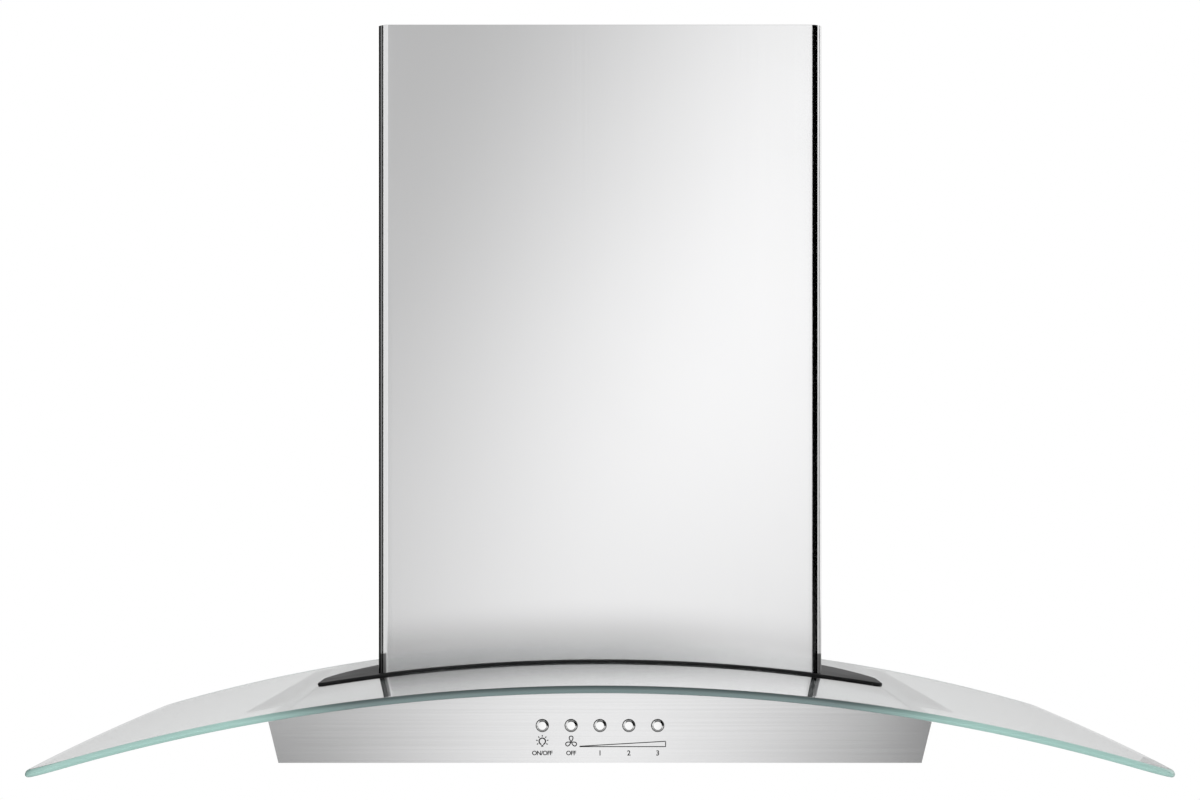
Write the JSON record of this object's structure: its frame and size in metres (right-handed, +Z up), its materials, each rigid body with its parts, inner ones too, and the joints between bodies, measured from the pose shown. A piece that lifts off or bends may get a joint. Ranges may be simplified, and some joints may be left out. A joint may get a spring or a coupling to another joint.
{
  "type": "wall mount range hood",
  "caption": "Wall mounted kitchen range hood: a wide bent glass canopy on a steel body with push buttons, lamps and grease filters, under a telescoping steel chimney.",
  "frame": {"origin": "on the wall's face, midway between the two holes of the wall bracket inside the chimney", "axes": "+X along the wall to the right as seen from the front, +Y into the wall, +Z up"},
  "size_m": [0.9186, 0.5, 0.6409],
  "materials": {
    "glass": "clear tempered glass, 6 mm, polished edge",
    "polished_steel": "fine brushed stainless steel",
    "body_steel": "satin stainless steel",
    "galvanised": "galvanised sheet steel",
    "zinc": "bright zinc",
    "black_moulding": "black moulded plastic",
    "rubber": "soft black rubber",
    "filter_aluminium": "bare aluminium",
    "button_steel": "satin chrome",
    "latch_plastic": "grey moulded plastic",
    "fan_plastic": "black moulded plastic",
    "motor_enamel": "black enamel",
    "core_iron": "laminated iron",
    "copper": "enamelled copper wire",
    "capacitor_plastic": "white plastic",
    "board": "green circuit board",
    "lamp_bezel": "satin chrome",
    "lamp_glass": "frosted glass"
  },
  "bodies": {
    "hood": {"glass_canopy": "glass", "front_fascia": "polished_steel", "lower_chimney": "polished_steel", "hood_body": "body_steel", "bottom_panel": "body_steel", "filter_hinge_lugs": "body_steel", "blower_box": "galvanised", "wall_bracket": "galvanised", "chimney_fixings": "galvanised", "scroll_wrap": "galvanised", "scroll_inlet_plate": "galvanised", "scroll_motor_plate": "galvanised", "outlet_collar": "galvanised", "wiring_box": "galvanised", "wiring_cover": "galvanised", "capacitor_clip": "galvanised", "chimney_screws": "zinc", "motor_screws": "zinc", "glass_screws": "zinc", "blower_box_screws": "zinc", "panel_screws": "zinc", "damper_pin": "zinc", "button_springs": "zinc", "motor_bearings": "zinc", "chimney_trim": "black_moulding", "switch_bank": "black_moulding", "control_box": "black_moulding", "control_lid": "black_moulding", "cable_gland": "black_moulding", "terminal_block": "black_moulding", "glass_seal": "rubber", "motor_grommets": "rubber", "glass_washers": "rubber", "lamp_modules": "filter_aluminium", "motor_casing": "motor_enamel", "motor_front_plate": "motor_enamel", "motor_stator": "core_iron", "motor_windings": "copper", "run_capacitor": "capacitor_plastic", "control_board": "board", "lamp_housings": "lamp_bezel", "lamp_lenses": "lamp_glass"},
    "fan_rotor": {"impeller": "fan_plastic", "motor_shaft": "zinc", "motor_rotor": "core_iron"},
    "upper_cover": {"upper_chimney": "polished_steel", "chimney_top_bracket": "galvanised"},
    "front_damper": {"front_damper_flap": "filter_aluminium"},
    "rear_damper": {"rear_damper_flap": "filter_aluminium"},
    "left_filter": {"left_filter_frame": "filter_aluminium", "left_filter_mesh": "filter_aluminium"},
    "right_filter": {"right_filter_frame": "filter_aluminium", "right_filter_mesh": "filter_aluminium"},
    "left_latch": {"left_filter_latch": "latch_plastic"},
    "right_latch": {"right_filter_latch": "latch_plastic"},
    "light_button_body": {"light_button": "button_steel"},
    "fan_off_button_body": {"fan_off_button": "button_steel"},
    "low_speed_button_body": {"low_speed_button": "button_steel"},
    "medium_speed_button_body": {"medium_speed_button": "button_steel"},
    "high_speed_button_body": {"high_speed_button": "button_steel"}
  },
  "joints": [
    {"name": "light_button_press", "type": "slide", "parent": "hood", "child": "light_button_body", "axis": [0, 1, 0], "range_m": [0, 0.003], "stiffness_N_per_m": 400, "deforming": ["button_springs"]},
    {"name": "fan_off_button_press", "type": "slide", "parent": "hood", "child": "fan_off_button_body", "axis": [0, 1, 0], "range_m": [0, 0.003], "stiffness_N_per_m": 400, "deforming": ["button_springs"]},
    {"name": "low_speed_button_press", "type": "slide", "parent": "hood", "child": "low_speed_button_body", "axis": [0, 1, 0], "range_m": [0, 0.003], "stiffness_N_per_m": 400, "deforming": ["button_springs"]},
    {"name": "medium_speed_button_press", "type": "slide", "parent": "hood", "child": "medium_speed_button_body", "axis": [0, 1, 0], "range_m": [0, 0.003], "stiffness_N_per_m": 400, "deforming": ["button_springs"]},
    {"name": "high_speed_button_press", "type": "slide", "parent": "hood", "child": "high_speed_button_body", "axis": [0, 1, 0], "range_m": [0, 0.003], "stiffness_N_per_m": 400, "deforming": ["button_springs"]},
    {"name": "fan_spin", "type": "hinge", "parent": "hood", "child": "fan_rotor", "pos_m": [0, -0.123, -0.06], "axis": [1, 0, 0], "continuous": true},
    {"name": "upper_cover_slide", "type": "slide", "parent": "hood", "child": "upper_cover", "axis": [0, 0, 1], "range_m": [0, 0.4]},
    {"name": "front_damper_swing", "type": "hinge", "parent": "hood", "child": "front_damper", "pos_m": [0, -0.123, 0.096], "axis": [-1, 0, 0], "range_deg": [0, 80]},
    {"name": "rear_damper_swing", "type": "hinge", "parent": "hood", "child": "rear_damper", "pos_m": [0, -0.123, 0.096], "axis": [1, 0, 0], "range_deg": [0, 80]},
    {"name": "left_filter_tilt", "type": "hinge", "parent": "hood", "child": "left_filter", "pos_m": [-0.122, -0.04, -0.2546], "axis": [1, 0, 0], "range_deg": [0, 60], "deforming": ["left_filter_latch"]},
    {"name": "left_latch_slide", "type": "slide", "parent": "left_filter", "child": "left_latch", "axis": [0, 1, 0], "range_m": [0, 0.006], "stiffness_N_per_m": 300},
    {"name": "right_filter_tilt", "type": "hinge", "parent": "hood", "child": "right_filter", "pos_m": [0.122, -0.04, -0.2546], "axis": [1, 0, 0], "range_deg": [0, 60], "deforming": ["right_filter_latch"]},
    {"name": "right_latch_slide", "type": "slide", "parent": "right_filter", "child": "right_latch", "axis": [0, 1, 0], "range_m": [0, 0.006], "stiffness_N_per_m": 300}
  ]
}
